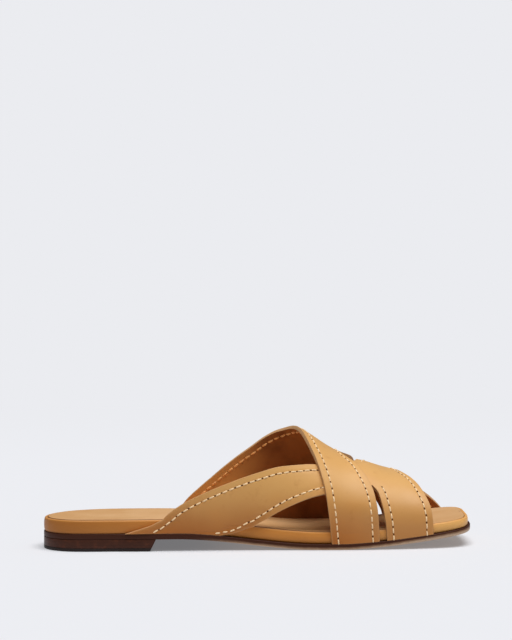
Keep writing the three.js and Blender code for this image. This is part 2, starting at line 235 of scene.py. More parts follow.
FINE_EDGE = closed_curve(np.array(FOOTBED_EDGE) * (LENGTH, BALL_WIDTH))
RING = evenly(np.vstack((FINE_EDGE, FINE_EDGE[:1])), RING_POINTS, False)
RING_RUN = np.roll(RING, -1, axis=0) - np.roll(RING, 1, axis=0)
RING_RUN /= np.linalg.norm(RING_RUN, axis=1)[:, None]

# The last's own zero is at the back of the heel, and the frame's is under the middle of the shoe
FOOTBED_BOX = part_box("footbed")
SHIFT = np.array((
    FOOTBED_BOX[0][0] - FINE_EDGE[:, 0].min(),
    FOOTBED_BOX[0][1] - FINE_EDGE[:, 1].min(),
    0.0,
))


def sole_margin(x):
    """How far the outsole stands out past the footbed."""
    swell = smoothstep(x, MARGIN_START * LENGTH, MARGIN_END * LENGTH)
    toe = smoothstep(x, TOE_MARGIN_START * LENGTH, TOE_MARGIN_END * LENGTH)
    ledge = OUTSOLE_MARGIN + (TOE_MARGIN - OUTSOLE_MARGIN) * toe
    return SEAT + (ledge - SEAT) * swell


def ring_at(margin):
    """The footbed's edge moved outward by a margin."""
    outward = np.column_stack((RING_RUN[:, 1], -RING_RUN[:, 0]))
    reach = margin(RING[:, 0]) if callable(margin) else np.full(RING_POINTS, margin)
    return RING + outward * reach[:, None]


def side_reach(x, side):
    """How far the footbed reaches to one side at places along it."""
    points = FINE_EDGE[FINE_EDGE[:, 1] * side > 0]
    points = points[np.argsort(points[:, 0])]
    return np.interp(x, points[:, 0], points[:, 1] * side)


def last_point(x, turn):
    """A point of the last's upper, up the footbed's wall, over the foot and down again."""
    outer = side_reach(x, -1) + SEAT
    inner = side_reach(x, 1) + SEAT
    base = outsole_top(x)
    top = footbed_top(x)
    climb = np.minimum(turn, 1 - turn) / WALL_SHARE
    middle = BALL_WIDTH * along(CREST_SIDE, x / LENGTH)
    rise = INSTEP_HEIGHT * along(CREST, x / LENGTH)
    angle = np.pi * np.clip((turn - WALL_SHARE) / (1 - 2 * WALL_SHARE), 0, 1)
    lean = np.abs(np.cos(angle)) ** (2 / ROUNDNESS)
    lift = np.maximum(0, np.sin(angle)) ** (2 / ROUNDNESS)
    side = np.where(turn < 0.5, middle - (outer + middle) * lean, middle + (inner - middle) * lean)
    on_wall = climb < 1
    side = np.where(on_wall, np.where(turn < 0.5, -outer, inner), side)
    height = np.where(on_wall, base + (top - base) * climb, top + rise * lift)
    return np.stack((x, side, height), axis=-1)


def last_normal(x, turn):
    """Direction straight off the last."""
    low, high = np.clip(turn - NORMAL_TURN, 0, 0.99), np.clip(turn + NORMAL_TURN, 0.01, 1)
    run = last_point(x + NORMAL_RUN, turn) - last_point(x - NORMAL_RUN, turn)
    round_foot = last_point(x, high) - last_point(x, low)
    normal = np.cross(run, round_foot)
    normal /= np.linalg.norm(normal, axis=-1, keepdims=True)
    on_wall = (turn < WALL_SHARE) | (turn > 1 - WALL_SHARE)
    normal[..., 2] = np.where(on_wall, 0, normal[..., 2])
    return normal / np.linalg.norm(normal, axis=-1, keepdims=True)


def off_last(x, turn, offset):
    """A point moved off the last."""
    x, turn, offset = np.broadcast_arrays(x, turn, offset)
    return last_point(x, turn) + last_normal(x, turn) * offset[..., None]


def edge_slant(table, turn):
    """Sine of the angle between a strap's edge and the lines that run along the last."""
    x = edge(table, turn)
    path = off_last(x, turn, 0)
    tangent = np.gradient(path, axis=0)
    run = last_point(x + NORMAL_RUN, turn) - last_point(x - NORMAL_RUN, turn)
    cross = np.linalg.norm(np.cross(tangent, run), axis=-1)
    return cross / (np.linalg.norm(tangent, axis=-1) * np.linalg.norm(run, axis=-1))


def beside(table, turn, side, inset, steps=8):
    """A line that keeps one distance from a strap's edge, as places along and turns round."""
    x, turn = edge(table, turn), turn.copy()
    tangent = np.gradient(last_point(x, turn), axis=0)
    across = np.cross(tangent, last_normal(x, turn)) * side
    for _ in range(steps):
        normal = last_normal(x, turn)
        across = across - normal * (across * normal).sum(-1, keepdims=True)
        across /= np.linalg.norm(across, axis=-1, keepdims=True)
        per_x = last_point(x + NORMAL_RUN, turn) - last_point(x - NORMAL_RUN, turn)
        per_x /= 2 * NORMAL_RUN
        per_turn = last_point(x, turn + NORMAL_TURN) - last_point(x, turn - NORMAL_TURN)
        per_turn /= 2 * NORMAL_TURN
        a, b, c = (per_x**2).sum(-1), (per_x * per_turn).sum(-1), (per_turn**2).sum(-1)
        p, q = (per_x * across).sum(-1), (per_turn * across).sum(-1)
        scale = inset / steps / (a * c - b * b)
        x = x + scale * (c * p - b * q)
        turn = turn + scale * (a * q - b * p)
    return x, turn


def eased(values, reach):
    """Values along a line, evened out over their neighbours, with both ends kept in line."""
    before = 2 * values[0] - values[reach:0:-1]
    after = 2 * values[-1] - values[-2 : -reach - 2 : -1]
    window = np.hanning(2 * reach + 3)[1:-1]
    return np.convolve(np.concatenate((before, values, after)), window / window.sum(), "valid")


def set_out(name, shown):
    """An object that shows a mesh, a lamp or a camera."""
    made = bpy.data.objects.new(name, shown)
    bpy.context.scene.collection.objects.link(made)
    return made


def make_piece(name, points, faces, materials, marks, kinds=None):
    """A mesh object at the origin, with smooth faces, its materials and its own UV map."""
    mesh = bpy.data.meshes.new(name)
    mesh.from_pydata((np.asarray(points) + SHIFT).tolist(), [], faces)
    for material in materials:
        mesh.materials.append(material)
    if kinds is not None:
        mesh.polygons.foreach_set("material_index", kinds)
    mesh.polygons.foreach_set("use_smooth", [True] * len(faces))
    layer = mesh.uv_layers.new(name="marks")
    corners = np.empty(len(mesh.loops), dtype=np.int32)
    mesh.loops.foreach_get("vertex_index", corners)
    layer.data.foreach_set("uv", np.asarray(marks)[corners].ravel())
    mesh.update()
    return set_out(name, mesh)


def joined(corners):
    """A face's corners without the ones that fall together."""
    kept = []
    for corner in corners:
        if corner not in kept:
            kept.append(corner)
    return kept


def stack_loops(name, loops, levels, floor, roof, material):
    """A closed body from loops of points, bottom first, with a height function for each end."""
    count = len(loops[0])
    points = [tuple(point) for loop in loops for point in loop]
    marks = [(0.0, level) for level in levels for _ in range(count)]
    faces = []
    for low in range(0, (len(loops) - 1) * count, count):
        high = low + count
        for index in range(count):
            after = (index + 1) % count
            faces.append([low + index, low + after, high + after, high + index])
    for number, height, flipped in ((0, floor, True), (len(loops) - 1, roof, False)):
        loop = np.asarray(loops[number])
        rows = []
        for left in range(count // 2 + 1):
            right = (count - left) % count
            row = [number * count + left]
            for column in range(1, CAP_COLUMNS):
                if left == right:
                    row.append(row[0])
                    continue
                share = column / CAP_COLUMNS
                place = loop[left] * (1 - share) + loop[right] * share
                row.append(len(points))
                points.append((place[0], place[1], float(height(place[0]))))
                marks.append((0.0, levels[number]))
            row.append(number * count + right)
            rows.append(row)
        for first, second in zip(rows, rows[1:]):
            for column in range(CAP_COLUMNS):
                corners = [first[column], second[column], second[column + 1], first[column + 1]]
                corners = joined(corners)
                if len(corners) > 2:
                    faces.append(corners[::-1] if flipped else corners)
    return make_piece(name, points, faces, [material], marks)


def lifted(flat, height):
    """Points of a flat loop set at a height that follows the sole."""
    return np.column_stack((flat, height(flat[:, 0])))


def rounded(thickness, low, high, steps=4):
    """Section of a slab's edge: distances out and up, with both corners rounded."""
    angles = [math.pi / 2 * step / steps for step in range(steps + 1)]
    below = [(low * (math.sin(a) - 1), low * (1 - math.cos(a))) for a in angles]
    above = [(high * (math.cos(a) - 1), thickness - high * (1 - math.sin(a))) for a in angles]
    return below + above


class Value:
    """A socket that takes part in Python expressions, which add Math nodes."""

    def __init__(self, nodes, socket):
        self.nodes = nodes
        self.socket = socket

    def math(self, operation, other):
        return self.nodes.node("ShaderNodeMath", {"operation": operation}, {0: self, 1: other})

    def __add__(self, other):
        return self.math("ADD", other)

    def __sub__(self, other):
        return self.math("SUBTRACT", other)

    def __mul__(self, other):
        return self.math("MULTIPLY", other)


class Nodes:
    """A node tree and the one method that adds to it."""

    def __init__(self, tree):
        self.tree = tree

    def node(self, kind, settings=None, sockets=None, out=0):
        made = self.tree.nodes.new(kind)
        for key, value in (settings or {}).items():
            setattr(made, key, value)
        for key, value in (sockets or {}).items():
            if isinstance(value, Value):
                self.tree.links.new(value.socket, made.inputs[key])
            else:
                made.inputs[key].default_value = value
        return Value(self, made.outputs[out]) if made.outputs else None


class Finish(Nodes):
    """A material and the patterns that its shader is made from."""

    def __init__(self, name):
        self.material = bpy.data.materials.new(name)
        self.material.use_nodes = True
        super().__init__(self.material.node_tree)
        self.tree.nodes.clear()

    def place(self):
        """The place on the object, in metres."""
        return self.node("ShaderNodeTexCoord", out="Object")

    def along(self, axis):
        """The place on the object along one axis."""
        return self.node("ShaderNodeSeparateXYZ", None, {0: self.place()}, axis)

    def mark(self, axis):
        """One of the two values that the piece keeps in its UV map."""
        pair = self.node("ShaderNodeUVMap", {"uv_map": "marks"})
        return self.node("ShaderNodeSeparateXYZ", None, {0: pair}, axis)

    def noise(self, scale, detail=2.0, roughness=0.5):
        sockets = {"Vector": self.place(), "Scale": scale, "Detail": detail, "Roughness": roughness}
        return self.node("ShaderNodeTexNoise", None, sockets, "Fac")

    def pores(self, scale):
        """Distance from the nearest pore."""
        sockets = {"Vector": self.place(), "Scale": scale}
        return self.node("ShaderNodeTexVoronoi", None, sockets, "Distance")

    def step(self, value, low, high, first=0.0, last=1.0):
        """Value carried from one range to another, with soft ends."""
        sockets = {0: value, 1: low, 2: high, 3: first, 4: last}
        return self.node("ShaderNodeMapRange", {"interpolation_type": "SMOOTHSTEP"}, sockets)

    def blend(self, first, second, share):
        """Two colours mixed by a share."""
        return self.node("ShaderNodeMix", {"data_type": "RGBA"}, {0: share, 6: first, 7: second}, 2)

    def stain(self, tone, shade, value, low, high, first=0.0, last=1.0):
        """A shade laid over a tone, by a share that follows a value."""
        return self.blend(tone, colour(*shade), self.step(value, low, high, first, last))

    def bump(self, height, strength, distance, below=None):
        sockets = {"Strength": strength, "Distance": distance, "Height": height}
        if below is not None:
            sockets["Normal"] = below
        return self.node("ShaderNodeBump", None, sockets)

    def grain(self, waves, detail, wave_strength, pores, pore_strength):
        """Soft waves of leather with fine pores over them."""
        normal = self.bump(self.noise(waves, detail), wave_strength, 0.5 * MM)
        return self.bump(self.step(self.pores(pores), 0.0, 0.5), pore_strength, 0.1 * MM, normal)

    def finish(self, **sockets):
        """The shader at the end, with its sockets named in words joined by underscores."""
        words = {key.replace("_", " "): value for key, value in sockets.items()}
        shader = self.node("ShaderNodeBsdfPrincipled", None, words)
        self.node("ShaderNodeOutputMaterial", None, {"Surface": shader})
        return self.material


def colour(red, green, blue):
    """A colour for a shader, from the eight-bit numbers a screen shows."""
    def linear(part):
        share = part / 255
        return share / 12.92 if share <= 0.04045 else ((share + 0.055) / 1.055) ** 2.4
    return (linear(red), linear(green), linear(blue), 1.0)


def strap_leather(colours):
    """Smooth satin strap leather, with fine pores, cloudy dye, rubbed margins and painted light and
    shade.
    """
    f = Finish("strap_leather")
    cloud = f.noise(26.0, 3.0)
    # Painted light and shade: lighter up high and darker low down, as the overhead light falls
    climb = f.step(f.along("Z") + (cloud - 0.5) * (14 * MM), 4 * MM, 44 * MM)
    tone = f.blend(tuple(colours.strap_shaded_low), tuple(colours.strap_lit_top), climb)
    tone = f.stain(tone, (202, 124, 44), cloud, 0.5, 0.75, 0.0, 0.3)
    tone = f.stain(tone, (172, 102, 40), f.noise(190.0, 4.0, 0.6), 0.55, 0.85, 0.0, 0.3)
    # Painted light: paler towards the toe, the side the overhead light leans to
    tone = f.stain(tone, (240, 190, 120), f.along("X"), 40 * MM, 80 * MM, 0.0, 0.24)
    tone = f.stain(tone, (206, 154, 96), f.mark("X"), 0.0, 1.6 * MM * MARK_SCALE, 0.3, 0.0)
    grain = f.step(f.pores(1500.0), 0.0, 0.55) * 0.6 + f.noise(900.0, 3.0, 0.6) * 0.6
    normal = f.bump(f.noise(120.0, 3.0), 0.12, 0.6 * MM)
    return f.finish(
        Base_Color=tone,
        Roughness=f.step(f.noise(60.0, 4.0, 0.6), 0.3, 0.7, 0.38, 0.5),
        Specular_IOR_Level=0.3,
        Coat_Weight=0.05,
        Coat_Roughness=0.35,
        Normal=f.bump(grain, 0.18, 0.12 * MM, normal),
    )


def lining_leather(colours):
    """Orange-brown lining with a dry, finer face, with painted light that makes it paler towards the
    heel.
    """
    f = Finish("lining_leather")
    tone = f.stain(tuple(colours.lining), (126, 68, 28), f.noise(70.0, 4.0), 0.4, 0.75)
    # Painted light and shade: paler towards the heel, darker towards the front
    tone = f.stain(tone, (212, 146, 80), f.along("X"), -20 * MM, 14 * MM, 1.0, 0.0)
    normal = f.bump(f.noise(700.0, 4.0, 0.7), 0.2, 0.15 * MM)
    return f.finish(Base_Color=tone, Roughness=0.66, Specular_IOR_Level=0.15, Normal=normal)


def cut_edge(colours):
    """Raw cut edge of the strap, pale, with short fibres."""
    f = Finish("cut_edge")
    fibre = f.noise(1100.0, 5.0, 0.7)
    tone = f.stain(tuple(colours.cut_edge), (142, 98, 60), fibre, 0.45, 0.8, 0.0, 0.7)
    normal = f.bump(fibre, 0.35, 0.25 * MM)
    return f.finish(Base_Color=tone, Roughness=0.66, Specular_IOR_Level=0.3, Normal=normal)


def thread(name, dye):
    """Waxed twisted thread."""
    f = Finish(name)
    twist = f.noise(1600.0, 3.0)
    tone = f.stain(dye, (160, 104, 66), twist, 0.5, 0.8, 0.0, 0.5)
    normal = f.bump(twist, 0.4, 0.12 * MM)
    return f.finish(Base_Color=tone, Roughness=0.55, Sheen_Weight=0.15, Normal=normal)


def needle_hole_shade():
    """Dark painted shade where the needle went through the leather."""
    f = Finish("needle_hole_shade")
    tone = f.blend(colour(74, 40, 18), colour(112, 66, 34), f.noise(900.0))
    return f.finish(Base_Color=tone, Roughness=0.8, Specular_IOR_Level=0.1)


def footbed_leather(colours):
    """Cover of the footbed, wrapped over its rim, with painted light and shade: darker at the heel,
    paler at the toe and on the rim, darker in the groove and at the wall's foot.
    """
    f = Finish("footbed_leather")
    level = f.mark("Y")
    tone = f.stain(tuple(colours.footbed), (216, 142, 64), f.noise(40.0, 4.0, 0.55), 0.35, 0.7)
    # Painted shade towards the heel and painted light towards the toe, the side the overhead light
    # leans to
    tone = f.stain(tone, (176, 110, 44), f.along("X"), -120 * MM, -40 * MM, 1.0, 0.0)
    tone = f.stain(tone, (246, 190, 112), f.along("X"), 40 * MM, 100 * MM, 0.0, 0.8)
    # Painted highlight on the rounded rim
    tone = f.stain(tone, (222, 160, 88), level, 0.72, 0.92, 0.0, 0.6)
    # Painted shade in the groove beside the sock
    tone = f.stain(tone, (110, 62, 28), level, 0.97, 1.0, 0.0, 0.85)
    # Painted shade at the wall's foot, where it tucks in against the outsole
    tone = f.stain(tone, (96, 54, 26), level, 0.0, 0.12, 0.6, 0.0)
    normal = f.grain(160.0, 3.0, 0.12, 1400.0, 0.12)
    return f.finish(Base_Color=tone, Roughness=0.46, Specular_IOR_Level=0.25, Normal=normal)


def sock_leather(colours):
    """Pale matt leather that the foot rests on, with a painted shadow along its edge that is fainter
    towards the toe.
    """
    f = Finish("sock_leather")
    tone = f.stain(tuple(colours.sock), (206, 156, 100), f.noise(22.0, 4.0, 0.6), 0.35, 0.7)
    # Painted shadow along the sock's edge, fainter towards the toe
    faint = f.step(f.along("X"), 50 * MM, 80 * MM, 1.0, 0.15)
    edge_shade = f.step(f.mark("Y"), 0.2, 1.0, 0.9, 0.0) * faint
    tone = f.blend(tone, colour(120, 70, 34), edge_shade)
    normal = f.grain(140.0, 4.0, 0.14, 1300.0, 0.15)
    return f.finish(Base_Color=tone, Roughness=0.58, Specular_IOR_Level=0.35, Normal=normal)


def outsole_leather(colours):
    """Sole leather: a waxed edge that is dark above and pale at its lower bevel, partly bare leather
    and partly a painted reflection of the bright floor.
    """
    f = Finish("outsole_leather")
    # Pale band along the lower edge: partly the bare leather of the bevel, partly a painted reflection
    # of the floor; higher at the toe, none at the heel
    level = f.mark("Y") + (f.noise(240.0, 4.0) - 0.5) * 0.2
    level = level - f.step(f.along("X"), 50 * MM, 110 * MM, 0.0, 0.25)
    near_floor = f.step(f.along("X"), -45 * MM, 0.0)
    fibre = f.noise(800.0, 4.0, 0.7)
    tone = f.blend(tuple(colours.outsole), colour(148, 112, 84), f.step(level, 0.6, 0.25) * near_floor)
    tone = f.blend(tone, colour(192, 164, 138), f.step(level, 0.32, 0.05) * near_floor)
    tone = f.stain(tone, (60, 30, 16), fibre, 0.55, 0.8, 0.0, 0.4)
    normal = f.bump(fibre, 0.2, 0.12 * MM)
    return f.finish(Base_Color=tone, Roughness=0.5, Specular_IOR_Level=0.2, Normal=normal)


def heel_leather(colours):
    """Stacked leather, dyed dark and polished, with faint lines between its layers."""
    f = Finish("stacked_heel")
    layers = f.mark("Y") * 3.0
    line = f.node("ShaderNodeMath", {"operation": "PINGPONG"}, {0: layers, 1: 0.5})
    seam = f.step(line, 0.0, 0.06, 1.0, 0.0)
    tone = f.stain(tuple(colours.heel), (96, 50, 30), f.noise(260.0, 4.0, 0.6), 0.45, 0.8)
    tone = f.blend(tone, colour(30, 16, 10), seam * 0.6)
    normal = f.bump(seam * -1.0 + f.noise(500.0) * 0.3, 0.25, 0.12 * MM)
    return f.finish(Base_Color=tone, Roughness=0.45, Specular_IOR_Level=0.2, Normal=normal)


def top_piece_rubber():
    """Matt dark rubber with fine scuffs."""
    f = Finish("top_piece_rubber")
    scuff = f.noise(420.0, 5.0, 0.7)
    tone = f.stain(colour(34, 22, 18), (66, 48, 40), scuff, 0.5, 0.8)
    normal = f.bump(scuff, 0.2, 0.1 * MM)
    return f.finish(Base_Color=tone, Roughness=0.6, Specular_IOR_Level=0.35, Normal=normal)


def lit_floor(tint, glow, matt_share):
    """Matt floor of a light table, which fades into the even backdrop away from the shoe."""
    f = Finish("floor")
    tone = tuple(tint)
    matt = f.node(
        "ShaderNodeBsdfPrincipled",
        None,
        {
            "Base Color": tuple(part * matt_share for part in tone[:3]) + (1.0,),
            "Roughness": 0.9,
            "Specular IOR Level": 0.0,
            "Emission Color": tone,
            "Emission Strength": glow,
        },
    )
    even = f.node("ShaderNodeEmission", None, {"Color": tone})
    reach = f.node("ShaderNodeVectorMath", {"operation": "LENGTH"}, {0: f.place()}, "Value")
    blend = f.node("ShaderNodeMixShader", None, {0: f.step(reach, 0.4, 1.2), 1: matt, 2: even})
    f.node("ShaderNodeOutputMaterial", None, {"Surface": blend})
    return f.material


def length(name, description, size):
    """A length property, in metres."""
    return FloatProperty(name=name, description=description, default=size, unit="LENGTH")


def angle(name, description, degrees):
    """An angle property."""
    size = math.radians(degrees)
    return FloatProperty(name=name, description=description, default=size, subtype="ANGLE")


def tint(name, description, red, green, blue):
    """A colour property."""
    return FloatVectorProperty(
        name=name,
        description=description,
        subtype="COLOR",
        size=4,
        min=0.0,
        max=1.0,
        default=colour(red, green, blue),
    )


class SandalSizes(bpy.types.PropertyGroup):
    """Sizes a maker would change without touching the last."""

    strap_thickness: length("Strap thickness", "Leather and lining together", 2.4 * MM)
    edge_round: length("Edge rounding", "Radius of the strap's cut edges", 0.6 * MM)
    stitch_inset: length("Stitch inset", "From the strap's edge to its row of stitches", 4.0 * MM)
    stitch_pitch: length("Stitch pitch", "From one stitch to the next", 4.25 * MM)
    stitch_length: length("Stitch length", "Thread that shows in one stitch", 3.0 * MM)
    thread_thickness: length("Thread thickness", "Diameter of the thread", 0.9 * MM)
    stitch_sink: length("Stitch sink", "How deep the thread pulls the leather in", 0.3 * MM)
    seed: IntProperty(name="Stitch seed", description="Seed of the stitches' small turns", default=7)


class SandalColours(bpy.types.PropertyGroup):
    """Colours of the leathers."""

    # Painted light and shade: the straps are lighter on their upper parts and darker on their lower
    # parts
    strap_lit_top: tint("Strap, light", "Upper parts of the straps", 224, 170, 100)
    strap_shaded_low: tint("Strap, dark", "Lower parts of the straps", 172, 100, 34)
    lining: tint("Lining", "Inner face of the straps", 158, 92, 42)
    cut_edge: tint("Cut edge", "Raw edge of the straps", 198, 152, 104)
    stitches: tint("Stitches", "Thread on the outer face", 255, 222, 172)
    footbed: tint("Footbed", "Cover of the footbed", 208, 134, 60)
    sock: tint("Sock", "Leather under the foot", 218, 172, 120)
    outsole: tint("Outsole", "Waxed upper part of the sole's edge", 66, 30, 12)
    heel: tint("Heel", "Dyed heel stack", 70, 36, 22)
    floor: tint("Floor", "Floor and backdrop", 235, 236, 240)


def lift_of_top(turn, thickness):
    """How far the strap on top stands off the last, where it climbs over the other strap."""
    climb = smoothstep(turn, LIFT_FROM, LIFT_TO)
    settle = 1 - smoothstep(turn, DROP_FROM, DROP_TO)
    return thickness * climb * settle


class Hide:
    """A sheet of strap leather under construction: its outer and inner faces and cut edges."""

    OUTER, INNER, CUT = 0, 1, 2

    def __init__(self):
        self.points = []
        self.marks = []
        self.faces = []
        self.kinds = []

    def add_grid(self, x, turn, lift, thickness, margin):
        """Adds points and returns their numbers; each has an outer and an inner point."""
        turn = np.broadcast_to(turn[:, None], x.shape)
        start = len(self.points) // 2
        outer = off_last(x, turn, lift + thickness).reshape(-1, 3)
        inner = off_last(x, turn, lift).reshape(-1, 3)
        for out, inside, mark, way in zip(outer, inner, margin.ravel(), turn.ravel()):
            self.points.extend((tuple(out), tuple(inside)))
            self.marks.extend([(mark * MARK_SCALE, way)] * 2)
        return np.arange(start, start + x.size).reshape(x.shape)

    def face(self, corners, kind):
        self.faces.append([int(corner) for corner in corners])
        self.kinds.append(kind)

    def cover(self, ids):
        """Outer and inner faces of a grid."""
        rows, columns = ids.shape
        for row in range(rows - 1):
            for column in range(columns - 1):
                a, b = ids[row, column], ids[row, column + 1]
                c, d = ids[row + 1, column + 1], ids[row + 1, column]
                self.face((2 * a, 2 * b, 2 * c, 2 * d), self.OUTER)
                self.face((2 * a + 1, 2 * d + 1, 2 * c + 1, 2 * b + 1), self.INNER)

    def close(self, line, turned=False):
        """Cut edge along a line of points, seen from outside with the sheet to its left."""
        line = line[::-1] if turned else line
        for a, b in zip(line, line[1:]):
            self.face((2 * a, 2 * b, 2 * b + 1, 2 * a + 1), self.CUT)

    def piece(self, name, materials):
        return make_piece(name, self.points, self.faces, materials, self.marks, self.kinds)


def edge_zone(table, turn, width):
    """Columns of points at even distances in from one edge, as lengths along the last."""
    slant = edge_slant(table, turn)
    inset = EDGE_COLUMNS[None, :] / slant[:, None]
    limit = EDGE_SHARE * width[:, None]
    squeeze = np.minimum(1, limit / inset[:, -1:])
    return inset * squeeze, EDGE_COLUMNS[None, :] * squeeze


def strap_columns(rear, front, turn, share=PLAIN_SHARES):
    """Places along the last of a strap's columns, and how far each is from an edge."""
    start, end = edge(rear, turn), edge(front, turn)
    behind, behind_margin = edge_zone(rear, turn, end - start)
    ahead, ahead_margin = edge_zone(front, turn, end - start)
    low = start[:, None] + behind
    high = (end[:, None] - ahead)[:, ::-1]
    middle = low[:, -1:] * (1 - share) + high[:, :1] * share
    full = np.full_like(middle, EDGE_COLUMNS[-1])
    margin = np.hstack((behind_margin, full, ahead_margin[:, ::-1]))
    return np.hstack((low, middle, high)), margin


def skin(x, turn, margin, sizes, depth):
    """Thickness of the leather, thinner along its row of stitches and a little uneven all over."""
    row = np.exp(-(((margin - sizes.stitch_inset) / STITCH_PULL) ** 2))
    turn = np.broadcast_to(turn[:, None], x.shape)
    waves = [
        noise.noise(Vector((a / WAVE_LENGTH, b * WAVES_ROUND, 0.5)))
        for a, b in zip(x.ravel(), turn.ravel())
    ]
    pulled_in = sizes.strap_thickness - 0.5 * sizes.stitch_sink * row
    return pulled_in + depth * np.array(waves).reshape(x.shape)


def finish_strap(piece, sizes):
    """Rounds a strap's cut edges."""
    bevel = piece.modifiers.new("rounded cut edges", "BEVEL")
    bevel.width = sizes.edge_round
    bevel.segments = 3
    bevel.limit_method = "ANGLE"
    bevel.angle_limit = math.radians(50)
    bevel.use_clamp_overlap = True


class SANDAL_OT_sole(bpy.types.Operator):
    """Builds the outsole, the stacked heel and its top piece"""

    bl_idname = "sandal.sole"
    bl_label = "Sole and heel"

    # Radii of the outsole's lower and upper edge and of the heel's edges
    TREAD_ROUND, EDGE_ROUND, HEEL_ROUND = 0.7 * MM, 0.5 * MM, 0.25 * MM
    # Points along each side of the heel, and spans across its breast
    AROUND, ACROSS = 120, 24

    def execute(self, context):
        colours = context.scene.sandal_colours
        loops, levels = [], []
        for out, up in rounded(OUTSOLE_THICKNESS, self.TREAD_ROUND, self.EDGE_ROUND):
            flat = ring_at(lambda x: sole_margin(x) + out)
            loops.append(lifted(flat, lambda x: underside(x) + up))
            levels.append(up / OUTSOLE_THICKNESS)
        material = outsole_leather(colours)
        outsole = stack_loops("outsole_visual", loops, levels, underside, outsole_top, material)
        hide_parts("outsole")
        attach(outsole, "root")

        stack, rubber = heel_leather(colours), top_piece_rubber()
        for name, node, bottom, top, material, slot in (
            ("heel_visual", "heel", HEEL_TOP_PIECE, HEEL_HEIGHT, stack, "stacked_heel"),
            ("top_piece_visual", "heel_top_piece", 0.0, HEEL_TOP_PIECE, rubber, "top_piece_rubber"),
        ):
            piece = self.heel_block(name, bottom, top, material)
            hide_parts(node)
            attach(piece, "root")
        return {"FINISHED"}

    def heel_block(self, name, bottom, top, material):
        loops, levels = [], []
        for out, up in rounded(top - bottom, self.HEEL_ROUND, self.HEEL_ROUND, 3):
            height = bottom + up
            cut = HEEL_LENGTH + BREAST_LEAN * height / HEEL_HEIGHT + out
            flat = self.behind(cut, out)
            loops.append(np.column_stack((flat, np.full(len(flat), height))))
            levels.append(up / (top - bottom))
        return stack_loops(name, loops, levels, lambda x: bottom, lambda x: top, material)

    def behind(self, cut, out):
        """The sole's outline behind the heel's breast, with points across the breast."""
        ring = ring_at(lambda x: sole_margin(x) + out)
        half = RING_POINTS // 2

        def side(line):
            reach = int(np.argmax(line[:, 0] > cut))
            share = (cut - line[reach - 1, 0]) / (line[reach, 0] - line[reach - 1, 0])
            last = line[reach - 1] * (1 - share) + line[reach] * share
            return evenly(np.vstack((line[:reach], last[None])), self.AROUND, True)

        first = side(ring[:half])
        second = side(np.vstack((ring[:1], ring[:half:-1])))
        share = np.linspace(0, 1, self.ACROSS + 1)[1:-1, None]
        breast = first[-1] * (1 - share) + second[-1] * share
        return np.vstack((first, breast, second[:0:-1]))


class SANDAL_OT_footbed(bpy.types.Operator):
    """Builds the wrapped footbed and the sock let into it"""

    bl_idname = "sandal.footbed"
    bl_label = "Footbed and sock"

    rim: length("Rim radius", "Radius of the footbed's upper edge", 1.1 * MM)
    groove: length("Sock groove", "Depth of the groove beside the sock", 0.6 * MM)
    sock_inset: length("Sock inset", "From the footbed's edge to the sock", 2.0 * MM)

    # Section of the wall: how far its foot is tucked in and its middle swells, the tuck's points
    # as shares of the way in and of the height, and the heights where the wall swells
    TUCK_IN, SWELL = 0.5 * MM, 0.25 * MM
    TUCK = ((1, 0.0), (0.5, 0.02), (0.1, 0.06))
    WALL = (0.12, 0.25, 0.4, 0.55, 0.7)
    RIM_STEPS = 6
    # Section of the groove beside the sock: share of its way in, and of its depth
    GROOVE = ((0.2, 0.03), (0.5, 0.15), (0.75, 0.45), (0.9, 1.0))
    # Section of the sock's edge: distance in and up, in millimetres, and the width of the shadow
    # painted along it
    SOCK_EDGE = ((0.0, -0.55), (0.0, -0.1), (0.08, 0.1), (0.3, 0.24), (0.7, 0.32), (1.4, 0.35))
    SHADE_WIDTH = 0.6

    def execute(self, context):
        colours = context.scene.sandal_colours
        section = [(-self.TUCK_IN * share, up) for share, up in self.TUCK]
        section += [(self.SWELL * math.sin(math.pi * up), up) for up in self.WALL]
        loops = [self.level(out, up) for out, up in section]
        levels = [0.8 * up for _, up in section]
        for step in range(self.RIM_STEPS + 1):
            turn = math.pi / 2 * step / self.RIM_STEPS
            drop = self.rim * (1 - math.sin(turn))
            flat = ring_at(-self.rim * (1 - math.cos(turn)))
            loops.append(lifted(flat, lambda x: footbed_top(x) - drop))
            levels.append(0.75 + 0.2 * step / self.RIM_STEPS)
        for share, depth in self.GROOVE:
            flat = ring_at(-self.rim - share * (self.sock_inset - self.rim))
            loops.append(lifted(flat, lambda x: footbed_top(x) - depth * self.groove))
            levels.append(0.96 + 0.04 * depth)
        footbed = stack_loops(
            "footbed_visual",
            loops,
            levels,
            outsole_top,
            lambda x: footbed_top(x) - self.groove,
            footbed_leather(colours),
        )
        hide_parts("footbed")
        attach(footbed, "root")

        loops, levels = [], []
        for inset, up in self.SOCK_EDGE:
            flat = ring_at(-self.sock_inset - inset * MM)
            loops.append(lifted(flat, lambda x: footbed_top(x) + up * MM))
            levels.append(min(1.0, inset / self.SHADE_WIDTH))
        sock = stack_loops(
            "sock_visual",
            loops,
            levels,
            lambda x: footbed_top(x) + self.SOCK_EDGE[0][1] * MM,
            lambda x: footbed_top(x) + self.SOCK_EDGE[-1][1] * MM,
            sock_leather(colours),
        )
        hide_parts("insole_sock")
        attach(sock, "root")
        return {"FINISHED"}

    def level(self, out, share):
        flat = ring_at(out)
        bottom, top = outsole_top(flat[:, 0]), footbed_top(flat[:, 0])
        return np.column_stack((flat, bottom + (top - bottom) * share))


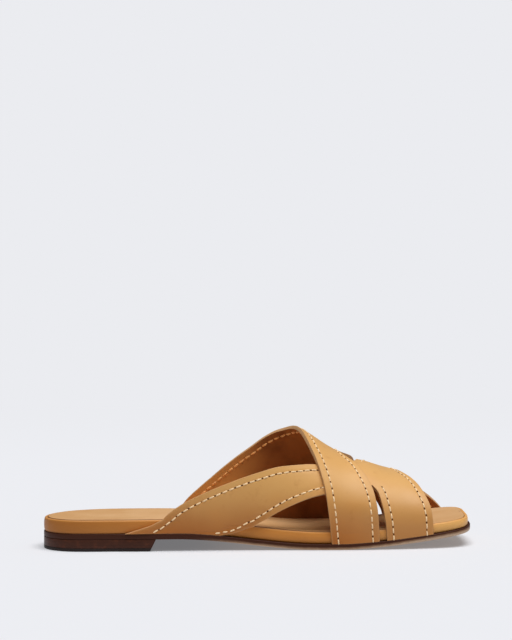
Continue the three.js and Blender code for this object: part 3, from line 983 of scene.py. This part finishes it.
class SANDAL_OT_straps(bpy.types.Operator):
    """Builds the strap on top and the forked strap under it"""

    bl_idname = "sandal.straps"
    bl_label = "Straps"

    # How deep each strap's slow unevenness is
    TOP_UNEVEN, UNDER_UNEVEN = 0.12 * MM, 0.1 * MM

    def execute(self, context):
        sizes, colours = context.scene.sandal_sizes, context.scene.sandal_colours
        materials = [strap_leather(colours), lining_leather(colours), cut_edge(colours)]
        top = self.top_strap(sizes, materials)
        under = self.under_strap(sizes, materials)
        for piece in (top, under):
            finish_strap(piece, sizes)
            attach(piece, "root")
        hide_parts("upper")
        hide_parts("upper")
        return {"FINISHED"}

    def top_strap(self, sizes, materials):
        hide = Hide()
        turn = np.linspace(0, 1, STRAP_ROWS)
        x, margin = strap_columns(TOP_REAR, TOP_FRONT, turn)
        lift = lift_of_top(turn, sizes.strap_thickness)[:, None] * np.ones_like(x)
        ids = hide.add_grid(x, turn, lift, skin(x, turn, margin, sizes, self.TOP_UNEVEN), margin)
        hide.cover(ids)
        hide.close(ids[:, 0])
        hide.close(ids[:, -1], True)
        hide.close(ids[0], True)
        hide.close(ids[-1])
        return hide.piece("top_strap", materials)

    def under_strap(self, sizes, materials):
        hide = Hide()
        legs = round(STRAP_ROWS * CROTCH)
        low = np.linspace(0, CROTCH, legs)
        high = np.linspace(CROTCH, 1, STRAP_ROWS - legs)

        def grid(x, turn, margin):
            thickness = skin(x, turn, margin, sizes, self.UNDER_UNEVEN)
            return hide.add_grid(x, turn, 0.0, thickness, margin)

        rear_x, rear_margin = strap_columns(UNDER_REAR, UNDER_LOWER, low)
        toe_x, toe_margin = strap_columns(TOE_LEG_REAR, TOE_FRONT, low)
        rear_ids = grid(rear_x, low, rear_margin)
        toe_ids = grid(toe_x, low, toe_margin)
        toe_ids[-1, 0] = rear_ids[-1, -1]

        # The toe band carries on the columns of both legs from where they meet
        join = np.concatenate((rear_x[-1], toe_x[-1, 1:]))
        zone = len(EDGE_COLUMNS)
        share = (join[zone:-zone] - join[zone - 1]) / (join[-zone] - join[zone - 1])
        band_x, band_margin = strap_columns(UNDER_REAR, TOE_FRONT, high, share)
        band_ids = grid(band_x[1:], high[1:], band_margin[1:])
        band_ids = np.vstack((np.concatenate((rear_ids[-1], toe_ids[-1, 1:])), band_ids))

        for ids in (rear_ids, toe_ids, band_ids):
            hide.cover(ids)
        for ids in (rear_ids, toe_ids):
            hide.close(ids[:, 0])
            hide.close(ids[:, -1], True)
            hide.close(ids[0], True)
        hide.close(band_ids[:, 0])
        hide.close(band_ids[:, -1], True)
        hide.close(band_ids[-1])
        return hide.piece("under_strap", materials)


def instance_tree(name, build_shape, fields):
    """A node group that sets one small shape along each row of points and realizes it."""
    tree = bpy.data.node_groups.new(name, "GeometryNodeTree")
    fields = {"Rows": "Geometry", **fields}
    for label, kind in fields.items():
        tree.interface.new_socket(name=label, in_out="INPUT", socket_type="NodeSocket" + kind)
    tree.interface.new_socket(name="Geometry", in_out="OUTPUT", socket_type="NodeSocketGeometry")

    node = Nodes(tree).node
    given = {label: node("NodeGroupInput", out=label) for label in fields}
    line = node("GeometryNodeMeshToCurve", None, {"Mesh": given["Rows"]})
    spacing = {"Curve": line, "Length": given["Pitch"]}
    spaced = node("GeometryNodeResampleCurve", {"mode": "LENGTH"}, spacing)
    vector = {"data_type": "FLOAT_VECTOR"}
    face = node("GeometryNodeInputNamedAttribute", vector, {"Name": "face"}, "Attribute")
    facing = node(
        "FunctionNodeAxesToRotation",
        {"primary_axis": "Z", "secondary_axis": "X"},
        {"Primary Axis": face, "Secondary Axis": node("GeometryNodeInputTangent")},
    )
    least, most = tuple(-part for part in MOST_WOBBLE), MOST_WOBBLE
    bounds = {"Min": least, "Max": most, "Seed": given["Seed"]}
    wobble = node("FunctionNodeRandomValue", vector, bounds)
    turned = node(
        "FunctionNodeRotateRotation",
        {"rotation_space": "LOCAL"},
        {"Rotation": facing, "Rotate By": wobble},
    )
    shape = build_shape(node, given)
    where = {"Points": spaced, "Instance": shape, "Rotation": turned}
    placed = node("GeometryNodeInstanceOnPoints", None, where)
    real = node("GeometryNodeRealizeInstances", None, {"Geometry": placed})
    smooth = node("GeometryNodeSetShadeSmooth", None, {"Geometry": real})
    dressed = {"Geometry": smooth, "Material": given["Material"]}
    node("NodeGroupOutput", None, {"Geometry": node("GeometryNodeSetMaterial", None, dressed)})
    return tree


def thread_shape(node, given):
    """One stitch: thread that rises out of a hole, lies over the leather and goes down again."""
    deep = given["Thickness"] * -0.45
    start = node("ShaderNodeCombineXYZ", None, {"X": given["Length"] * -0.5, "Z": deep})
    crown = node("ShaderNodeCombineXYZ", None, {"Z": given["Thickness"] * 0.9})
    end = node("ShaderNodeCombineXYZ", None, {"X": given["Length"] * 0.5, "Z": deep})
    way = {"Resolution": 7, "Start": start, "Middle": crown, "End": end}
    size = {"Resolution": 8, "Radius": given["Thickness"] * 0.5}
    body = {
        "Curve": node("GeometryNodeCurveQuadraticBezier", None, way),
        "Profile Curve": node("GeometryNodeCurvePrimitiveCircle", {"mode": "RADIUS"}, size),
        "Fill Caps": True,
    }
    return node("GeometryNodeCurveToMesh", None, body)


def hole_shape(node, given):
    """One needle hole: a shallow dark dimple between two stitches."""
    size = {"X": given["Length"], "Y": given["Thickness"], "Z": given["Depth"]}
    ball = {"Segments": 10, "Rings": 6, "Radius": 1.0}
    moved = {
        "Geometry": node("GeometryNodeMeshUVSphere", None, ball),
        "Translation": node("ShaderNodeCombineXYZ", None, {"X": given["Pitch"] * 0.5}),
        "Scale": node("ShaderNodeCombineXYZ", None, size),
    }
    return node("GeometryNodeTransform", None, moved)


class SANDAL_OT_stitches(bpy.types.Operator):
    """Sews the rows of stitches along the straps' edges, outside and on the lining"""

    bl_idname = "sandal.stitches"
    bl_label = "Stitches"

    # Strap, edge, side on which the row lies, share of the inset that it keeps at its foot, and the
    # stretches of the way round where it shows, outside and on the lining
    ROWS = (
        ("top", TOP_REAR, 1, 1.0, ((0.016, 0.97),), ((0.42, 0.9),)),
        ("top", TOP_FRONT, -1, 1.0, ((0.016, 0.97),), ((0.46, 0.9),)),
        ("under", UNDER_REAR, 1, 1.0, ((0.016, 0.35), (0.475, 0.97)), ((0.1, 0.9),)),
        ("under", UNDER_LOWER, -1, 0.45, ((0.016, 0.235),), ((0.1, 0.235),)),
        ("under", TOE_LEG_REAR, 1, 1.0, ((0.016, 0.262),), ((0.1, 0.262),)),
        ("under", TOE_FRONT, -1, 1.0, ((0.016, 0.97),), ((0.1, 0.9),)),
    )
    # How far round a row's foot reaches, points on a row, how many of them are evened out to each
    # side, and how far a row is drawn past its stretch before it is cut
    FOOT, POINTS, EASE, PAST = 0.14, 600, 12, 0.04
    # Thickness of the lining's thread as a share of the thread outside
    HEAVY = 1.4

    def execute(self, context):
        sizes, colours = context.scene.sandal_sizes, context.scene.sandal_colours
        fields = {"Pitch": "Float", "Length": "Float", "Thickness": "Float", "Seed": "Int"}
        fields["Material"] = "Material"
        stitch = instance_tree("stitch_row", thread_shape, fields)
        hole = instance_tree("needle_row", hole_shape, {**fields, "Depth": "Float"})
        bright = thread("thread_outside", tuple(colours.stitches))
        quiet = thread("thread_lining", colour(244, 172, 96))
        # Painted shade in the needle holes
        dark = needle_hole_shade()
        base = {"Pitch": sizes.stitch_pitch, "Seed": sizes.seed}
        sewn = dict(base, Length=sizes.stitch_length, Thickness=sizes.thread_thickness)
        heavy = dict(sewn, Thickness=self.HEAVY * sizes.thread_thickness)
        dimple = dict(base, Length=0.8 * MM, Thickness=0.5 * MM, Depth=0.12 * MM)
        for name, tree, outside, values in (
            ("stitches_outside", stitch, True, dict(sewn, Material=bright)),
            ("needle_holes", hole, True, dict(dimple, Material=dark)),
            ("stitches_lining", stitch, False, dict(heavy, Material=quiet)),
        ):
            piece = self.rows(name, sizes, outside)
            self.sew(piece, tree, values)
            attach(piece, "root")
        return {"FINISHED"}

    def rows(self, name, sizes, outside):
        """The rows as lines of points, each with the direction that its leather faces."""
        points, edges, faces = [], [], []
        for strap, table, side, foot, shown, lined in self.ROWS:
            for start, end in shown if outside else lined:
                turn = np.linspace(start - self.PAST, min(end + self.PAST, table[-1][0]), self.POINTS)
                share = foot + (1 - foot) * smoothstep(turn, 0, self.FOOT)
                x, turn = beside(table, turn, side, sizes.stitch_inset * share)
                x, turn = eased(x, self.EASE), eased(turn, self.EASE)
                keep = (turn >= start) & (turn <= end)
                x, turn = x[keep], turn[keep]
                lift = lift_of_top(turn, sizes.strap_thickness) if strap == "top" else 0 * turn
                if outside:
                    lift = lift + sizes.strap_thickness - 0.5 * sizes.stitch_sink
                first = len(points)
                points.extend(off_last(x, turn, lift) + SHIFT)
                faces.extend(last_normal(x, turn) * (1 if outside else -1))
                edges.extend((first + k, first + k + 1) for k in range(len(x) - 1))
        mesh = bpy.data.meshes.new(name)
        mesh.from_pydata([tuple(point) for point in points], edges, [])
        attribute = mesh.attributes.new("face", "FLOAT_VECTOR", "POINT")
        attribute.data.foreach_set("vector", np.asarray(faces, dtype=np.float32).ravel())
        return set_out(name, mesh)

    def sew(self, piece, tree, values):
        modifier = piece.modifiers.new("rows", "NODES")
        modifier.node_group = tree
        for item in tree.interface.items_tree:
            if item.in_out == "INPUT" and item.name in values:
                modifier[item.identifier] = values[item.name]
        graph = bpy.context.evaluated_depsgraph_get()
        made = bpy.data.meshes.new_from_object(piece.evaluated_get(graph))
        if not made.polygons:
            raise RuntimeError(f"{piece.name} has no stitches")
        piece.modifiers.remove(modifier)
        piece.data = made


class SANDAL_OT_stage(bpy.types.Operator):
    """Sets the pale floor, the soft light and the camera"""

    bl_idname = "sandal.stage"
    bl_label = "Stage"

    distance: length("Camera distance", "From the camera to the shoe", 1.4)
    pixel: length("Pixel", "Size of a pixel of the picture at the shoe", 0.61 * MM)
    azimuth: angle("Azimuth", "Turn of the camera towards the toe", -6.0)
    elevation: angle("Elevation", "Rise of the camera over the floor", 7.3)
    softness: angle("Softness", "How wide the overhead light is", 50)
    lean_to_toe: angle("Lean to the toe", "Lean of the overhead light", 6)
    lean_to_camera: angle("Lean to the camera", "Lean of the overhead light", 8)
    sun: FloatProperty(name="Overhead light", default=2.9)
    fill: FloatProperty(name="Light from all round", default=0.2)
    glow: FloatProperty(name="Glow of the floor", default=0.2)
    matt: FloatProperty(name="Share of light that the floor throws back", default=0.76)

    # Place of the frame's zero in the picture, and the picture's size
    ZERO_ACROSS, ZERO_DOWN = 258.6, 542.7
    WIDTH, HEIGHT = 512, 640
    # How far the floor goes and the camera sees, in metres
    FLOOR_REACH, SIGHT = 60.0, 200.0

    def execute(self, context):
        scene = context.scene
        self.add_floor(scene)
        self.add_lights(scene)
        self.add_camera(scene)
        return {"FINISHED"}

    def add_floor(self, scene):
        corners = [(x, y, 0) for x, y in ((-1, -1), (1, -1), (1, 1), (-1, 1))]
        mesh = bpy.data.meshes.new("floor")
        mesh.from_pydata((np.array(corners) * self.FLOOR_REACH).tolist(), [], [(0, 1, 2, 3)])
        mesh.materials.append(lit_floor(scene.sandal_colours.floor, self.glow, self.matt))
        floor = set_out("floor", mesh)

    def add_lights(self, scene):
        scene.view_settings.view_transform = "Standard"
        world = bpy.data.worlds.new("studio")
        world.use_nodes = True
        tree = world.node_tree
        background = tree.nodes["Background"]
        background.inputs["Color"].default_value = tuple(scene.sandal_colours.floor)
        path = tree.nodes.new("ShaderNodeLightPath")
        strength = tree.nodes.new("ShaderNodeMapRange")
        strength.inputs["To Min"].default_value = self.fill
        strength.inputs["To Max"].default_value = 1.0
        tree.links.new(path.outputs["Is Camera Ray"], strength.inputs["Value"])
        tree.links.new(strength.outputs[0], background.inputs["Strength"])
        scene.world = world
        sun = bpy.data.lights.new("overhead", "SUN")
        sun.energy = self.sun
        sun.angle = self.softness
        lean = Matrix.Rotation(self.lean_to_toe, 4, "Y") @ Matrix.Rotation(self.lean_to_camera, 4, "X")
        set_out("overhead", sun).matrix_world = lean

    def add_camera(self, scene):
        flat = self.distance * math.cos(self.elevation)
        place = Vector((
            flat * math.sin(self.azimuth),
            -flat * math.cos(self.azimuth),
            self.distance * math.sin(self.elevation),
        ))
        focal = self.distance / self.pixel
        pitch = self.elevation - math.atan((self.ZERO_DOWN - self.HEIGHT / 2) / focal)
        right = Vector((math.cos(self.azimuth), math.sin(self.azimuth), 0))
        ahead = Vector((
            -math.sin(self.azimuth) * math.cos(pitch),
            math.cos(self.azimuth) * math.cos(pitch),
            -math.sin(pitch),
        ))
        up = right.cross(ahead)
        place -= right * (self.ZERO_ACROSS - self.WIDTH / 2) * self.pixel
        camera = bpy.data.cameras.new("camera")
        camera.lens = camera.sensor_width * focal / self.HEIGHT
        camera.clip_end = self.SIGHT
        view = set_out("camera", camera)
        view.matrix_world = Matrix((
            (right.x, up.x, -ahead.x, place.x),
            (right.y, up.y, -ahead.y, place.y),
            (right.z, up.z, -ahead.z, place.z),
            (0, 0, 0, 1),
        ))
        scene.camera = view


class SANDAL_PT_pieces(bpy.types.Panel):
    """Lists the sandal's pieces, sizes and colours"""

    bl_label = "Cross Strap Sandal"
    bl_idname = "SANDAL_PT_pieces"
    bl_space_type = "VIEW_3D"
    bl_region_type = "UI"
    bl_category = "Sandal"

    def draw(self, context):
        layout = self.layout
        for operator in OPERATORS:
            layout.operator(operator.bl_idname)
        for group in (context.scene.sandal_sizes, context.scene.sandal_colours):
            box = layout.box()
            for name in group.__annotations__:
                box.prop(group, name)


OPERATORS = (
    SANDAL_OT_stage,
    SANDAL_OT_sole,
    SANDAL_OT_footbed,
    SANDAL_OT_straps,
    SANDAL_OT_stitches,
)
CLASSES = (SandalSizes, SandalColours) + OPERATORS + (SANDAL_PT_pieces,)


def register():
    for item in CLASSES:
        bpy.utils.register_class(item)
    bpy.types.Scene.sandal_sizes = PointerProperty(type=SandalSizes)
    bpy.types.Scene.sandal_colours = PointerProperty(type=SandalColours)


def unregister():
    del bpy.types.Scene.sandal_colours
    del bpy.types.Scene.sandal_sizes
    for item in reversed(CLASSES):
        bpy.utils.unregister_class(item)


def main():
    register()
    bpy.ops.sandal.stage()
    bpy.ops.sandal.sole()
    bpy.ops.sandal.footbed()
    bpy.ops.sandal.straps()
    bpy.ops.sandal.stitches()


if __name__ == "__main__":
    main()
